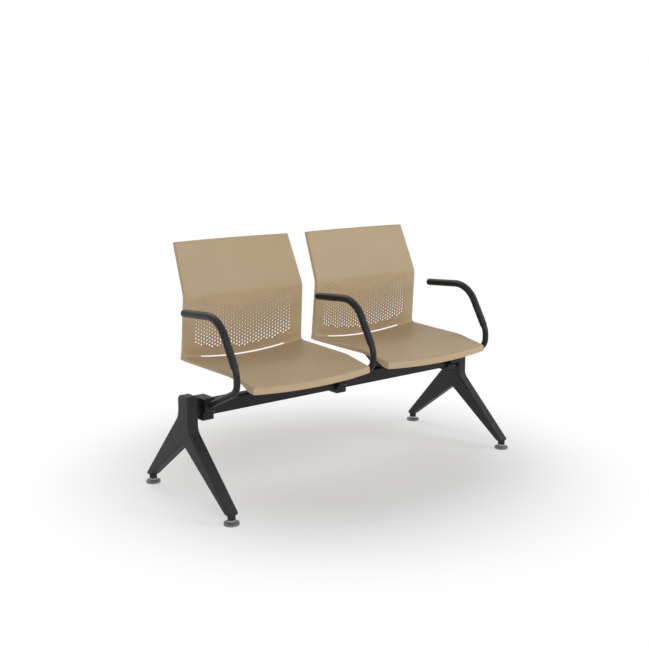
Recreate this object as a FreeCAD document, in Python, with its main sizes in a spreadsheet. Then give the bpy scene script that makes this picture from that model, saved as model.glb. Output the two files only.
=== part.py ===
import FreeCAD, Part
import math
import os
import re

from FreeCAD import Placement, Rotation, Vector

# Two-place beam seating in millimetres.
# X runs along the beam, -Y is the side people sit down from, Z is up.
# The origin lies on the floor, midway between the four feet.

doc = FreeCAD.newDocument("BeamSeating")
sheet = doc.addObject("Spreadsheet::Sheet", "Sizes")

SIZES = [
    ("seat_pitch", 560, "between neighbouring places and arms"),
    ("beam_height", 50, "outside, square steel tube"),
    ("beam_depth", 40, "outside"),
    ("beam_wall", 3, ""),
    ("beam_corner", 6, "outer corner radius"),
    ("beam_level", 313, "beam axis above the floor"),
    ("leg_overhang", 58, "middle of a leg beyond the outer arm"),
    ("leg_width", 40, "thickness of the cast leg along the beam"),
    ("leg_bevel", 4.5, "bevel along the leg's outline"),
    ("leg_head_depth", 64, "front to back"),
    ("leg_head_level", 362, "top of the leg"),
    ("leg_head_corner", 14, "radius"),
    ("crotch_level", 200, "underside of the leg where its limbs part"),
    ("crotch_reach", 10, "the same point, behind the beam axis"),
    ("crotch_radius", 8, ""),
    ("front_bend_level", 250, "where the front limb leaves the head"),
    ("front_bend_radius", 40, ""),
    ("rear_bend_level", 294, "where the rear limb leaves the head"),
    ("rear_bend_radius", 60, ""),
    ("foot_reach", 247, "foot axis from the beam axis"),
    ("limb_end_level", 30, "underside of a limb at its foot"),
    ("limb_end_height", 9, "upright end face of a limb"),
    ("limb_end_depth", 22, "front to back"),
    ("limb_end_radius", 5, ""),
    ("foot_boss_dia", 26, ""),
    ("foot_boss_level", 16, "underside of the threaded boss"),
    ("spigot_length", 100, "leg spigot inside the beam"),
    ("spigot_gap", 0.25, "between spigot and beam wall"),
    ("leg_bolt_dia", 8, ""),
    ("leg_bolt_length", 24, ""),
    ("leg_bolt_start", 68, "first bolt from the leg's face"),
    ("leg_bolt_step", 20, "between the two bolts"),
    ("pad_dia", 50, "glide disc"),
    ("pad_height", 10, ""),
    ("pad_crown", 3, "height of the disc's conical top"),
    ("pad_crown_inset", 9, ""),
    ("pad_floor", 3, "under the stud's pivot"),
    ("stem_dia", 10, "glide stud"),
    ("stem_engagement", 24, "stud inside the boss"),
    ("pivot_dia", 8, "foot of the stud, in the disc"),
    ("collar_dia", 25, "adjusting collar, across corners"),
    ("collar_gap", 0.3, "collar to boss and to disc"),
    ("running_gap", 0.05, "radial, turning fits"),
    ("arm_tube_dia", 22, ""),
    ("arm_tube_wall", 2.5, ""),
    ("sleeve_dia", 26, "moulded grip on the arm"),
    ("sleeve_gap", 0.05, "radial, grip on tube"),
    ("grip_nose_length", 10, "tapered rear end of the grip"),
    ("grip_tip_dia", 10, ""),
    ("arm_rear_reach", 107, "rear end of the armrest"),
    ("arm_rear_level", 610, ""),
    ("arm_crest_reach", 104, "corner of armrest and front run"),
    ("arm_crest_level", 626, ""),
    ("arm_front_reach", 202, "foremost run of the arm"),
    ("arm_knee_level", 462, ""),
    ("arm_toe_level", 404, "corner below the seat"),
    ("arm_root_rise", 7, "tube end above the beam axis"),
    ("arm_crest_radius", 108, ""),
    ("arm_knee_radius", 70, ""),
    ("arm_toe_radius", 42, ""),
    ("clamp_width", 40, "along the beam"),
    ("clamp_lip", 12, "above and below the beam"),
    ("clamp_toe", 11, "front lug, in front of the beam"),
    ("socket_depth", 26, "socket housing, in front of the beam"),
    ("socket_floor", 6, "tube end to beam face"),
    ("socket_wall", 5, "round the arm tube"),
    ("tube_end_gap", 0.3, "tube end to the bottom of its socket"),
    ("clamp_roof_run", 8, "slope at the top of the clamp"),
    ("clamp_roof_fall", 10, ""),
    ("clamp_chin", 12, "height of the slope under the socket"),
    ("clamp_corner", 4, "radius"),
    ("clamp_edge", 2, "radius at the parting faces"),
    ("clamp_bolt_reach", 24, "bolt beyond the strap"),
    ("strap_thickness", 8, "rear plate of the clamp"),
    ("seat_level", 447, "top of the seat at its side edges"),
    ("seat_front_reach", 228, ""),
    ("seat_front_drop", 28, "front edge below the side edges"),
    ("seat_break_reach", 35, "where the seat starts to fall"),
    ("break_hollow", 17, "middle of the break below its sides"),
    ("fold_reach", 168, "fold of seat and back"),
    ("kink_reach", 152, "lumbar kink"),
    ("kink_rise", 208, "above the seat"),
    ("back_top_reach", 227, ""),
    ("back_top_rise", 386, "above the seat"),
    ("seat_front_width", 476, ""),
    ("fold_width", 504, ""),
    ("kink_width", 495, ""),
    ("back_top_width", 475, ""),
    ("shell_wall", 4, ""),
    ("rim_wall", 4, "turned edge of the shell"),
    ("rim_depth", 12, ""),
    ("top_slope", 5, "fall of the upper edge towards the rear"),
    ("lip_depth", 24, "turned front edge"),
    ("lip_slant", 2, "the lip's foot ahead of its top"),
    ("heel_reach", 18, "rear of the lip's side, behind the front edge"),
    ("heel_rise", 3, ""),
    ("back_hollow", 18, "middle of the back behind its sides"),
    ("seat_hollow", 28, "middle of the fold below its sides"),
    ("front_hollow", 9, "middle of the front edge below its corners"),
    ("front_bow", 22, "middle of the front edge ahead of its corners"),
    ("kink_radius", 60, ""),
    ("fold_radius", 12, ""),
    ("seat_radius", 180, ""),
    ("lip_radius", 5, ""),
    ("side_kink_radius", 400, "in the outline seen from the front"),
    ("slot_width", 356, "opening between seat and back"),
    ("slot_height", 8, ""),
    ("slot_rise", 6, "above the fold"),
    ("hole_pitch", 30, "between columns of holes"),
    ("field_half_width", 198, "perforated field"),
    ("field_low_middle", 6, "above the seat edge"),
    ("field_low_side", 36, ""),
    ("field_high_middle", 150, ""),
    ("field_high_side", 204, ""),
    ("hole_largest", 10, "across corners, lowest row"),
    ("hole_smallest", 4, "across corners, highest row"),
    ("carrier_span", 170, "over the webs"),
    ("carrier_sheet", 4, ""),
    ("carrier_drop", 37, "carrier top below the seat edge"),
    ("carrier_front_reach", 125, ""),
    ("carrier_rear_reach", 105, ""),
    ("carrier_end_height", 14, ""),
    ("carrier_flange", 26, "screw flange"),
    ("carrier_foot_run", 22, "front slope of a web at its foot"),
    ("carrier_heel_run", 14, "rear slope"),
    ("carrier_foot_rise", 10, ""),
    ("carrier_foot_radius", 30, ""),
    ("carrier_end_radius", 6, ""),
    ("carrier_bolt_inset", 18, "from the web's outer face"),
    ("screw_front_reach", 95, ""),
    ("screw_rear_reach", 75, ""),
    ("seat_boss_dia", 16, ""),
    ("screw_dia", 5, "seat screws"),
    ("screw_reach", 8, "seat screw in its boss"),
    ("bolt_dia", 6, "carrier and clamp bolts"),
    ("bolt_gap", 0.2, "radial, bolts in their holes"),
    ("bore_spare", 2, "blind holes, past the fastener's end"),
]

for row, (alias, value, note) in enumerate(SIZES, start=1):
    sheet.set(f"A{row}", alias)
    sheet.set(f"B{row}", str(value))
    sheet.setAlias(f"B{row}", alias)
    sheet.set(f"C{row}", note)
doc.recompute()


def size(alias):
    return float(getattr(sheet, alias))


def formula(words):
    """Turn plain words such as beam_height / 2 into a reference to the sheet."""
    return re.sub(r"\b([a-z]+_[a-z_]+)\b", r"Sizes.\1", words)


def bind(thing, prop, words):
    thing.setExpression(prop, formula(words))


def place(thing, x="0", y="0", z="0"):
    bind(thing, "Placement.Base.x", x)
    bind(thing, "Placement.Base.y", y)
    bind(thing, "Placement.Base.z", z)
    return thing


TURN_REAR = Rotation(Vector(1, 0, 0), -90)
TURN_FRONT = Rotation(Vector(1, 0, 0), 90)
TURN_DOWN = Rotation(Vector(1, 0, 0), 180)
NO_TURN = Rotation()


def solid(kind, label, turn=NO_TURN, **sizes):
    thing = doc.addObject(kind, label)
    thing.Placement = Placement(Vector(), turn)
    for prop, words in sizes.items():
        bind(thing, prop, words)
    return thing


def cylinder(label, radius, height, turn=NO_TURN):
    return solid("Part::Cylinder", label, turn, Radius=radius, Height=height)


def box_at(label, x, y, z, centre_x="0", centre_y="0", floor="0"):
    thing = solid("Part::Box", label, Length=x, Width=y, Height=z)
    return place(thing, f"{centre_x} - ({x}) / 2", f"{centre_y} - ({y}) / 2", floor)


def fuse(label, *things):
    thing = doc.addObject("Part::MultiFuse", label)
    thing.Shapes = list(things)
    return thing


def cut(label, base, *tools):
    thing = doc.addObject("Part::Cut", label)
    thing.Base = base
    thing.Tool = tools[0] if len(tools) == 1 else fuse(label + "_tools", *tools)
    return thing


def common(label, first, second):
    thing = doc.addObject("Part::Common", label)
    thing.Base = first
    thing.Tool = second
    return thing


def group(label, *things):
    thing = doc.addObject("Part::Compound", label)
    thing.Links = list(things)
    return thing


def mirrored(label, source):
    """The same piece on the other side of the bench's middle plane."""
    thing = doc.addObject("Part::Mirroring", label)
    thing.Source = source
    thing.Normal = Vector(1, 0, 0)
    return thing


def rounded(points, closed=True):
    """Lines through (u, v, radius) points, with a tangent arc at each rounded corner."""
    count = len(points)
    corners = []
    for index, (u, v, radius) in enumerate(points):
        here = Vector(u, v, 0)
        at_end = not closed and index in (0, count - 1)
        if radius == 0 or at_end:
            corners.append((here, None, here))
            continue
        before = Vector(*points[index - 1][:2], 0)
        after = Vector(*points[(index + 1) % count][:2], 0)
        back = (before - here).normalize()
        ahead = (after - here).normalize()
        half = back.getAngle(ahead) / 2
        tangent = radius / math.tan(half)
        middle = here + (back + ahead).normalize() * (radius / math.sin(half) - radius)
        corners.append((here + back * tangent, middle, here + ahead * tangent))
    curves = []
    for index, (start, middle, end) in enumerate(corners):
        if middle:
            curves.append(Part.Arc(start, middle, end))
        if closed or index < count - 1:
            next_start = corners[(index + 1) % count][0]
            curves.append(Part.LineSegment(end, next_start))
    return curves


def drawing(label, points, closed=True, turn=NO_TURN):
    """A sketch of the rounded outline, lying in a plane of its own."""
    sketch = doc.addObject("Sketcher::SketchObject", label)
    sketch.addGeometry(rounded(points, closed), False)
    sketch.Placement = Placement(Vector(), turn)
    return sketch


# Turns a drawing's (u, v) into (Y, Z), with its normal along X.
SIDE_VIEW = Rotation(Vector(0, 1, 0), Vector(0, 0, 1), Vector(1, 0, 0), "XYZ")
# Turns a drawing's (u, v) into (X, Z), with its normal along -Y.
FRONT_VIEW = Rotation(Vector(1, 0, 0), Vector(0, 0, 1), Vector(0, -1, 0), "XYZ")


def new_body(label):
    return doc.addObject("PartDesign::Body", label)


def body_sketch(body, label, role, *outlines):
    sketch = body.newObject("Sketcher::SketchObject", label)
    plane = next(item for item in body.Origin.OriginFeatures if item.Role == role)
    sketch.AttachmentSupport = [(plane, "")]
    sketch.MapMode = "FlatFace"
    for outline in outlines:
        sketch.addGeometry(outline, False)
    return sketch


def body_pad(body, label, sketch, length, side="Symmetric"):
    pad = body.newObject("PartDesign::Pad", label)
    pad.Profile = sketch
    pad.SideType = side
    bind(pad, "Length", length)
    return pad


def body_solid(body, kind, label, turn=NO_TURN, at=("0", "0", "0"), **sizes):
    feature = body.newObject(f"PartDesign::{kind}", label)
    feature.Placement = Placement(Vector(), turn)
    for prop, words in sizes.items():
        bind(feature, prop, words)
    return place(feature, *at)


# A hexagon head's radius across corners and its height, as shares of the shank's diameter.
HEAD_RADIUS = 0.9
HEAD_HEIGHT = 0.65
HEAD_SIDES = 6
# Shanks, screw pilots and screw bosses are prisms with this many sides.
ROUND_SIDES = 12


def prism(label, sides, radius, height):
    feature = solid("Part::Prism", label, Circumradius=radius, Height=height)
    feature.Polygon = sides
    return feature


def bolt(label, dia, length, turn, at):
    """A hexagon bolt whose head sits on the point at, shank pointing along the turned Z."""
    shank = prism(label + "_shank", ROUND_SIDES, f"{dia} / 2", length)
    head = prism(label + "_head", HEAD_SIDES, f"{dia} * {HEAD_RADIUS}", f"{dia} * {HEAD_HEIGHT}")
    place(head, z=f"-{dia} * {HEAD_HEIGHT}")
    whole = fuse(label, shank, head)
    whole.Placement = Placement(Vector(), turn)
    return place(whole, *at)


# Beam: a rectangular steel tube with the holes its fixings need.

LEG_X = "(seat_pitch + leg_overhang)"
LEG_FACE = f"({LEG_X} - leg_width / 2)"
SEAT_X = "-seat_pitch / 2"
LEG_BOLTS = ("leg_bolt_start", "leg_bolt_start + leg_bolt_step")
CARRIER_BOLTS = [(side, row) for side in (-1, 1) for row in (-1, 1)]


def bar_outline(inset, level=0):
    """The beam's rounded rectangle, shrunk all round by the inset."""
    half = size("beam_depth") / 2 - inset
    low = level - size("beam_height") / 2 + inset
    high = level + size("beam_height") / 2 - inset
    radius = max(size("beam_corner") - inset, 0.5)
    return rounded([(-half, low, radius), (half, low, radius),
                    (half, high, radius), (-half, high, radius)])


def carrier_bolt_at(seat, side, row):
    x = f"{seat} + {side} * (carrier_span / 2 - carrier_bolt_inset)"
    return x, f"{row} * beam_depth / 4"


def beam():
    body = new_body("beam")
    section = body_sketch(body, "beam_section", "YZ_Plane", bar_outline(0),
                          bar_outline(size("beam_wall")))
    body_pad(body, "beam_tube", section, f"2 * {LEG_FACE}")
    for end in (-1, 1):
        for step in LEG_BOLTS:
            body_solid(body, "SubtractiveCylinder", "leg_bolt_hole", TURN_REAR,
                       (f"{end} * ({LEG_FACE} - ({step}))", "0", "0"),
                       Radius="leg_bolt_dia / 2 + bolt_gap", Height="beam_depth")
    for seat in (SEAT_X, "seat_pitch / 2"):
        for side, row in CARRIER_BOLTS:
            x, y = carrier_bolt_at(seat, side, row)
            body_solid(body, "SubtractiveCylinder", "carrier_bolt_hole", NO_TURN, (x, y, "0"),
                       Radius="bolt_dia / 2 + bolt_gap", Height="beam_height")
    place(body, z="beam_level")
    return body


# Leg: one casting with a head, two limbs, threaded foot bosses and a spigot for the beam.

def leg_outline():
    half = size("leg_head_depth") / 2
    top = size("leg_head_level")
    foot = size("foot_reach")
    edge = size("limb_end_depth") / 2
    low = size("limb_end_level")
    knee = low + size("limb_end_height")
    corner = size("leg_head_corner")
    end = size("limb_end_radius")
    return rounded([
        (-half, top, corner), (-half, size("front_bend_level"), size("front_bend_radius")),
        (-foot - edge, knee, end), (-foot - edge, low, end), (-foot + edge, low, end),
        (size("crotch_reach"), size("crotch_level"), size("crotch_radius")),
        (foot - edge, low, end), (foot + edge, low, end), (foot + edge, knee, end),
        (half, size("rear_bend_level"), size("rear_bend_radius")), (half, top, corner)])


def left_leg():
    body = new_body("leg_left")
    sketch = body_sketch(body, "leg_outline", "YZ_Plane", leg_outline())
    pad = body_pad(body, "leg_casting", sketch, "leg_width")
    doc.recompute()
    ends = [f"Face{number}" for number, face in enumerate(pad.Shape.Faces, start=1)
            if abs(abs(face.CenterOfMass.x) - size("leg_width") / 2) < 0.01]
    bevel = body.newObject("PartDesign::Chamfer", "leg_bevel")
    bevel.Base = (pad, ends)
    bind(bevel, "Size", "leg_bevel")
    for reach in ("-foot_reach", "foot_reach"):
        body_solid(body, "AdditiveCylinder", "foot_boss", NO_TURN, ("0", reach, "foot_boss_level"),
                   Radius="foot_boss_dia / 2",
                   Height="limb_end_level + limb_end_height - foot_boss_level")
    spigot = body_sketch(body, "spigot_section", "YZ_Plane", bar_outline(
        size("beam_wall") + size("spigot_gap"), size("beam_level")))
    body_pad(body, "beam_spigot", spigot, "leg_width / 2 + spigot_length", "One side")
    for reach in ("-foot_reach", "foot_reach"):
        body_solid(body, "SubtractiveCylinder", "stud_bore", NO_TURN, ("0", reach, "foot_boss_level"),
                   Radius="stem_dia / 2 + running_gap", Height="stem_engagement + bore_spare")
    for step in LEG_BOLTS:
        body_solid(body, "SubtractiveCylinder", "spigot_hole", TURN_REAR,
                   (f"leg_width / 2 + {step}", "beam_depth / 2 - leg_bolt_length - bore_spare",
                    "beam_level"),
                   Radius="leg_bolt_dia / 2 + bolt_gap", Height="leg_bolt_length + bore_spare")
    place(body, x=f"-{LEG_X}")
    return body


def left_leg_bolts():
    bolts = [bolt(f"leg_bolt_{number}", "leg_bolt_dia", "leg_bolt_length", TURN_FRONT,
                  (f"-{LEG_FACE} + {step}", "beam_depth / 2", "beam_level"))
             for number, step in enumerate(LEG_BOLTS)]
    return group("leg_bolts_left", *bolts)


# Levelling glide: a disc on the floor and a threaded stud with an adjusting collar.

def left_glide(end, reach):
    disc = cylinder(f"disc_{end}", "pad_dia / 2", "pad_height - pad_crown")
    crown = solid("Part::Cone", f"crown_{end}", Radius1="pad_dia / 2",
                  Radius2="pad_dia / 2 - pad_crown_inset", Height="pad_crown")
    place(crown, z="pad_height - pad_crown")
    socket = cylinder(f"socket_{end}", "pivot_dia / 2 + running_gap", "pad_height")
    place(socket, z="pad_floor")
    pad = cut(f"glide_pad_left_{end}", fuse(f"disc_and_crown_{end}", disc, crown), socket)
    place(pad, f"-{LEG_X}", reach)

    pivot = cylinder(f"pivot_{end}", "pivot_dia / 2", "pad_height")
    place(pivot, z="pad_floor + collar_gap")
    collar = prism(f"collar_{end}", HEAD_SIDES, "collar_dia / 2",
                   "foot_boss_level - pad_height - 2 * collar_gap")
    place(collar, z="pad_height + collar_gap")
    stud = cylinder(f"stud_{end}", "stem_dia / 2", "stem_engagement + 2 * collar_gap")
    place(stud, z="foot_boss_level - 2 * collar_gap")
    stem = fuse(f"glide_stem_left_{end}", pivot, collar, stud)
    place(stem, f"-{LEG_X}", reach)
    return pad, stem


# Arm: a bent tube under a moulded grip, clamped to the beam.

def arm_route():
    root_y = -size("beam_depth") / 2 - size("socket_floor")
    root_z = size("beam_level") + size("arm_root_rise")
    return [
        (size("arm_rear_reach"), size("arm_rear_level"), 0),
        (-size("arm_crest_reach"), size("arm_crest_level"), size("arm_crest_radius")),
        (-size("arm_front_reach"), size("arm_knee_level"), size("arm_knee_radius")),
        (-size("arm_front_reach"), size("arm_toe_level"), size("arm_toe_radius")),
        (root_y, root_z, 0)]


SLEEVE_EDGES = ["Edge1", "Edge2", "Edge3"]
TUBE_EDGES = [f"Edge{number}" for number in range(1, 8)]


# The tube's bore is an octagon, because its ends are hidden in the grip and in the socket.
BORE_SIDES = 8


def arm_start():
    """The rear end of the arm's route and the direction it sets out in."""
    start, towards = (Vector(0, *point[:2]) for point in arm_route()[:2])
    return start, towards - start


def rod(label, route, edges, radius, sides=0):
    """A bar swept along part of the arm's route, round unless it has sides."""
    start, ahead = arm_start()
    kind, size_name = ("Part::RegularPolygon", "Circumradius") if sides else ("Part::Circle", "Radius")
    section = doc.addObject(kind, label + "_section")
    if sides:
        section.Polygon = sides
    section.Placement = Placement(start, Rotation(Vector(0, 0, 1), ahead))
    bind(section, size_name, radius)
    sweep = doc.addObject("Part::Sweep", label)
    sweep.Sections = [section]
    sweep.Spine = (route, edges)
    sweep.Solid = True
    return sweep


def arm(name, x):
    route = drawing(f"arm_route_{name}", arm_route(), closed=False, turn=SIDE_VIEW)
    outside = rod(f"tube_outside_{name}", route, TUBE_EDGES, "arm_tube_dia / 2")
    inside = rod(f"tube_inside_{name}", route, TUBE_EDGES, "arm_tube_dia / 2 - arm_tube_wall",
                 BORE_SIDES)
    tube = cut(f"arm_tube_{name}", outside, inside)
    grip = rod(f"grip_{name}", route, SLEEVE_EDGES, "sleeve_dia / 2")
    nose = solid("Part::Cone", f"grip_nose_{name}", Radius1="sleeve_dia / 2",
                 Radius2="grip_tip_dia / 2", Height="grip_nose_length")
    nose.Placement = Placement(Vector(), Rotation(Vector(0, 0, 1), -arm_start()[1]))
    place(nose, y="arm_rear_reach", z="arm_rear_level")
    room = rod(f"grip_room_{name}", route, SLEEVE_EDGES, "arm_tube_dia / 2 + sleeve_gap")
    sleeve = cut(f"arm_sleeve_{name}", fuse(f"grip_whole_{name}", grip, nose), room)
    place(tube, x)
    place(sleeve, x)
    return tube, sleeve


def clamp_outline():
    face = size("beam_depth") / 2
    top = size("beam_level") + size("beam_height") / 2
    bottom = size("beam_level") - size("beam_height") / 2
    lip = size("clamp_lip")
    toe = face + size("clamp_toe")
    mouth = face + size("socket_depth")
    root = size("beam_level") + size("arm_root_rise")
    chin = root - size("arm_tube_dia") / 2 - size("socket_wall")
    half_chin = size("clamp_chin") / 2
    corner = size("clamp_corner")
    edge = size("clamp_edge")
    return [
        (face, top + lip, edge), (-mouth + size("clamp_roof_run"), top + lip, corner),
        (-mouth, top + lip - size("clamp_roof_fall"), corner), (-mouth, chin + half_chin, corner),
        (-toe, chin - half_chin, corner), (-toe, bottom - lip, corner),
        (face, bottom - lip, edge), (face, bottom, 0), (-face, bottom, 0), (-face, top, 0),
        (face, top, 0)]


def clamp(name, x):
    outline = drawing(f"clamp_outline_{name}", clamp_outline(), turn=SIDE_VIEW)
    block = doc.addObject("Part::Extrusion", f"clamp_block_{name}")
    block.Base = outline
    block.DirMode = "Normal"
    block.Solid = True
    block.Symmetric = True
    bind(block, "LengthFwd", "clamp_width")

    route = arm_route()
    root = Vector(0, *route[-1][:2])
    outward = (Vector(0, *route[-2][:2]) - root).normalize()
    socket = cylinder(f"tube_socket_{name}", "arm_tube_dia / 2 + sleeve_gap", "4 * socket_depth")
    floor = root - outward * size("tube_end_gap")
    socket.Placement = Placement(floor, Rotation(Vector(0, 0, 1), outward))
    tools = [socket]
    bolts = []
    levels = {"upper": "beam_level + beam_height / 2 + clamp_lip / 2",
              "lower": "beam_level - beam_height / 2 - clamp_lip / 2"}
    rear = "beam_depth / 2 + strap_thickness"
    for level, z in levels.items():
        hole = cylinder(f"clamp_hole_{level}_{name}", "bolt_dia / 2 + bolt_gap",
                        "clamp_bolt_reach + bore_spare", TURN_FRONT)
        tools.append(place(hole, y="beam_depth / 2", z=z))
    front = cut(f"arm_clamp_{name}", block, *tools)

    plate = box_at(f"strap_plate_{name}", "clamp_width", "strap_thickness",
                   "beam_height + 2 * clamp_lip", "0", "beam_depth / 2 + strap_thickness / 2",
                   "beam_level - beam_height / 2 - clamp_lip")
    strap_holes = []
    for level, z in levels.items():
        hole = cylinder(f"strap_hole_{level}_{name}", "bolt_dia / 2 + bolt_gap",
                        "strap_thickness + 2 * bore_spare", TURN_FRONT)
        strap_holes.append(place(hole, y=f"{rear} + bore_spare", z=z))
        bolts.append(bolt(f"clamp_bolt_{level}_{name}", "bolt_dia",
                          "strap_thickness + clamp_bolt_reach", TURN_FRONT, (x, rear, z)))
    strap = cut(f"clamp_strap_{name}", plate, *strap_holes)
    place(front, x)
    place(strap, x)
    return front, strap, group(f"clamp_bolts_{name}", *bolts)


# Seat shell: one moulding, seat and back in one, hollow behind its turned edges.

# How far cutting and bounding shapes run past the shell, and how far the prism round the seat
# rises above the seat's edge.
OVERSHOOT = 60
SEAT_PRISM_RISE = 3


def shell_line(middle):
    """Fold, kink and edge points of the sitting surface, at the sides or in the middle."""
    hollow = size("seat_hollow") if middle else 0
    behind = size("back_hollow") if middle else 0
    bow = size("front_bow") if middle else 0
    level = size("seat_level")
    front_z = level - size("seat_front_drop") - (size("front_hollow") if middle else 0)
    break_z = level - (size("break_hollow") if middle else 0)
    return {
        "top": (size("back_top_reach") + behind, level + size("back_top_rise")),
        "kink": (size("kink_reach") + behind, level + size("kink_rise")),
        "fold": (size("fold_reach") + behind, level - hollow),
        "break": (-size("seat_break_reach"), break_z),
        "front": (-size("seat_front_reach") - bow, front_z)}


def outer_section(middle):
    """The moulding as a solid slab as deep as its turned edges."""
    line = shell_line(middle)
    depth = size("rim_depth")
    lip = size("lip_depth")
    top, kink, fold, flat, front = line.values()
    return [
        (*top, 0), (*kink, size("kink_radius")), (*fold, size("fold_radius")),
        (*flat, size("seat_radius")), (*front, size("lip_radius")),
        (front[0] - size("lip_slant"), front[1] - lip, 0),
        (front[0] + size("heel_reach"), front[1] - lip + size("heel_rise"), 0),
        (flat[0], flat[1] - depth, size("seat_radius")),
        (fold[0] + depth, fold[1] - depth, 0),
        (kink[0] + depth, kink[1], size("kink_radius") - depth),
        (top[0] + depth, top[1] - size("top_slope"), 0)]


def inner_section(middle):
    """The room behind the wall, open to the back and to the floor."""
    line = shell_line(middle)
    wall = size("shell_wall")
    rim = size("rim_wall")
    lip = size("lip_depth")
    top, kink, fold, flat, front = line.values()
    lean = (top[0] - kink[0]) / (top[1] - kink[1])
    return [
        (top[0] + wall - rim * lean, top[1] - rim, 0),
        (kink[0] + wall, kink[1], size("kink_radius")),
        (fold[0] + wall, fold[1] - wall, size("fold_radius") - wall),
        (flat[0], flat[1] - wall, size("seat_radius")),
        (front[0] + rim, front[1] - wall, 0),
        (front[0] + rim - size("lip_slant"), front[1] - 2 * lip, 0),
        (fold[0] + OVERSHOOT, front[1] - 2 * lip, 0),
        (fold[0] + OVERSHOOT, kink[1], 0), (top[0] + OVERSHOOT, top[1] - rim, 0)]


# Each round of a section is lofted as a few chords, which keeps the strips between them plain.
ROUND_CHORDS = 5


def chords(curve):
    edge = curve.toShape()
    if isinstance(curve, Part.LineSegment):
        return [edge]
    return Part.makePolygon(edge.discretize(ROUND_CHORDS + 1)).Edges


def shell_loft(label, section):
    """A smooth loft across the seat: side section, middle section, side section."""
    half = size("fold_width") / 2 + size("shell_wall")
    wires = []
    for name, x, middle in (("left", -half, False), ("middle", 0, True), ("right", half, False)):
        edges = [edge for curve in rounded(section(middle)) for edge in chords(curve)]
        wire = Part.Wire(edges)
        wire.Placement = Placement(Vector(x, 0, 0), SIDE_VIEW)
        feature = doc.addObject("Part::Feature", f"{label}_{name}")
        feature.Shape = wire
        wires.append(feature)
    loft = doc.addObject("Part::Loft", label)
    loft.Sections = wires
    loft.Solid = True
    return loft


def shell_frame(label, inset):
    """The shell's outline from the front and from above, as one prism."""
    level = size("seat_level")
    wide, waist, narrow, lip = (size(name) / 2 - inset for name in (
        "fold_width", "kink_width", "back_top_width", "seat_front_width"))
    top = level + size("back_top_rise")
    kink = level + size("kink_rise")
    curve = size("side_kink_radius")
    tip = narrow - (waist - narrow) * OVERSHOOT / (top - kink)
    low = level - size("seat_hollow") - size("rim_depth") - size("shell_wall")
    upright = drawing(f"{label}_front_view", [
        (-wide, low, 0), (wide, low, 0), (waist, kink, curve), (tip, top + OVERSHOOT, 0),
        (-tip, top + OVERSHOOT, 0), (-waist, kink, curve)], turn=FRONT_VIEW)
    back = doc.addObject("Part::Extrusion", f"{label}_back")
    back.Base = upright
    back.Dir = Vector(0, 1, 0)
    back.LengthFwd = size("back_top_reach") + 2 * OVERSHOOT
    back.Solid = True
    back.Placement.Base = Vector(0, size("kink_reach") - OVERSHOOT, 0)
    rear = size("fold_reach") + 2 * OVERSHOOT
    spare = size("front_bow") + OVERSHOOT
    front = -size("seat_front_reach") - spare
    nose = lip - (wide - lip) * spare / (size("fold_reach") + size("seat_front_reach"))
    flat = drawing(f"{label}_top_view", [
        (-wide, rear, 0), (-wide, size("fold_reach"), 0), (-nose, front, 0),
        (nose, front, 0), (wide, size("fold_reach"), 0), (wide, rear, 0)])
    seat = doc.addObject("Part::Extrusion", f"{label}_seat")
    seat.Base = flat
    seat.Dir = Vector(0, 0, 1)
    seat.LengthFwd = 2 * size("lip_depth") + size("seat_front_drop") + 2 * OVERSHOOT
    seat.Solid = True
    seat.Placement.Base = Vector(0, 0, level + SEAT_PRISM_RISE - seat.LengthFwd.Value)
    return fuse(label, back, seat)


def fold_level(x):
    """Height of the fold at a distance x from the middle of the seat."""
    share = (2 * x / size("fold_width")) ** 2
    return size("seat_level") - size("seat_hollow") * (1 - share)


def seat_surface(x, y):
    """Height of the sitting surface, seen from above, at a point of the seat."""
    levels = []
    for middle in (False, True):
        line = shell_line(middle)
        ends = ("fold", "break") if y > line["break"][0] else ("break", "front")
        (rear_y, rear_z), (front_y, front_z) = (line[end] for end in ends)
        levels.append(front_z + (rear_z - front_z) * (y - front_y) / (rear_y - front_y))
    share = (2 * x / size("fold_width")) ** 2
    return levels[1] + (levels[0] - levels[1]) * share


def slot_cutter():
    """A curved slot just above the fold, from the front view."""
    half = size("slot_width") / 2
    height = size("slot_height")
    edges = []
    for rise in (0, height):
        ends = [Vector(x, 0, fold_level(x) + size("slot_rise") - height / 2 + rise)
                for x in (-half, 0, half)]
        edges.append(Part.Arc(*ends).toShape())
    lower, upper = edges
    for x in (-half, half):
        z = fold_level(x) + size("slot_rise") - height / 2
        edges.append(Part.LineSegment(Vector(x, 0, z), Vector(x, 0, z + height)).toShape())
    face = Part.Face(Part.Wire(Part.__sortEdges__(edges)))
    return face.extrude(Vector(0, 2 * OVERSHOOT, 0)), size("fold_reach") - OVERSHOOT


def field_limit(x, name):
    share = (x / size("field_half_width")) ** 2
    middle = size(f"field_{name}_middle")
    return size("seat_level") + middle + (size(f"field_{name}_side") - middle) * share


def perforation():
    """Staggered columns of holes, small at the kink and large above the slot."""
    pitch = size("hole_pitch")
    columns = int(size("field_half_width") // pitch)
    holes = []
    for column in range(-columns, columns + 1):
        x = column * pitch
        low = field_limit(x, "low")
        high = field_limit(x, "high")
        z = size("seat_level") + (pitch / 2 if column % 2 else 0)
        while z < high:
            if z > low:
                share = (z - low) / (high - low)
                dia = size("hole_largest") + (size("hole_smallest") - size("hole_largest")) * share
                corners = [Vector(x + dia / 2 * math.cos(turn), 0, z + dia / 2 * math.sin(turn))
                           for turn in (math.radians(60 * step) for step in range(7))]
                hexagon = Part.Face(Part.makePolygon(corners))
                holes.append(hexagon.extrude(Vector(0, 2 * OVERSHOOT, 0)))
            z += pitch
    return Part.makeCompound(holes), size("kink_reach") - OVERSHOOT / 2


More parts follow.
